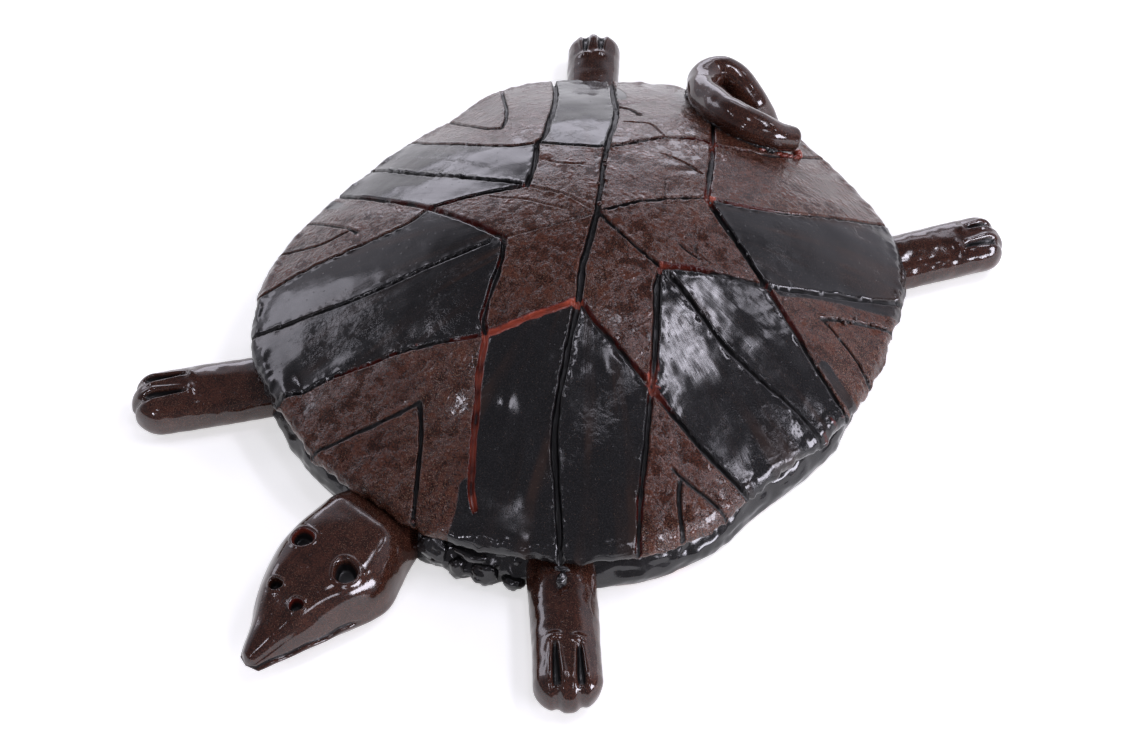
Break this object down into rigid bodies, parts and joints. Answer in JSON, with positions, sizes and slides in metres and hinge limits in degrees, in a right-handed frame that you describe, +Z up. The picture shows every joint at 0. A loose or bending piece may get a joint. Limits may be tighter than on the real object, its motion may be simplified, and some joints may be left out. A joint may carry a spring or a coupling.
{
  "type": "glazed ceramic turtle figure",
  "caption": "Hand-built glazed red clay turtle, a low dome incised with a star of lozenges over a flat slab base, with coil legs, a pointed head and a curled tail.",
  "frame": {"origin": "on the ground, under the middle of the whole figure's box", "axes": "+Z up, head towards -Y, tail towards +Y, the figure's own left side towards +X"},
  "size_m": [0.2118, 0.3236, 0.0648],
  "materials": {
    "brown_glaze": "glossy dark brown glaze, finely speckled, with red clay bare along the incised lines",
    "black_glaze": "glossy black glaze over the base, uneven, thin at the lower edge"
  },
  "bodies": {
    "root": {"carapace": "brown_glaze", "plastron": "black_glaze", "head": "brown_glaze", "tail": "brown_glaze", "leg_front_left": "brown_glaze", "leg_front_right": "brown_glaze", "leg_rear_left": "brown_glaze", "leg_rear_right": "brown_glaze"}
  },
  "joints": []
}
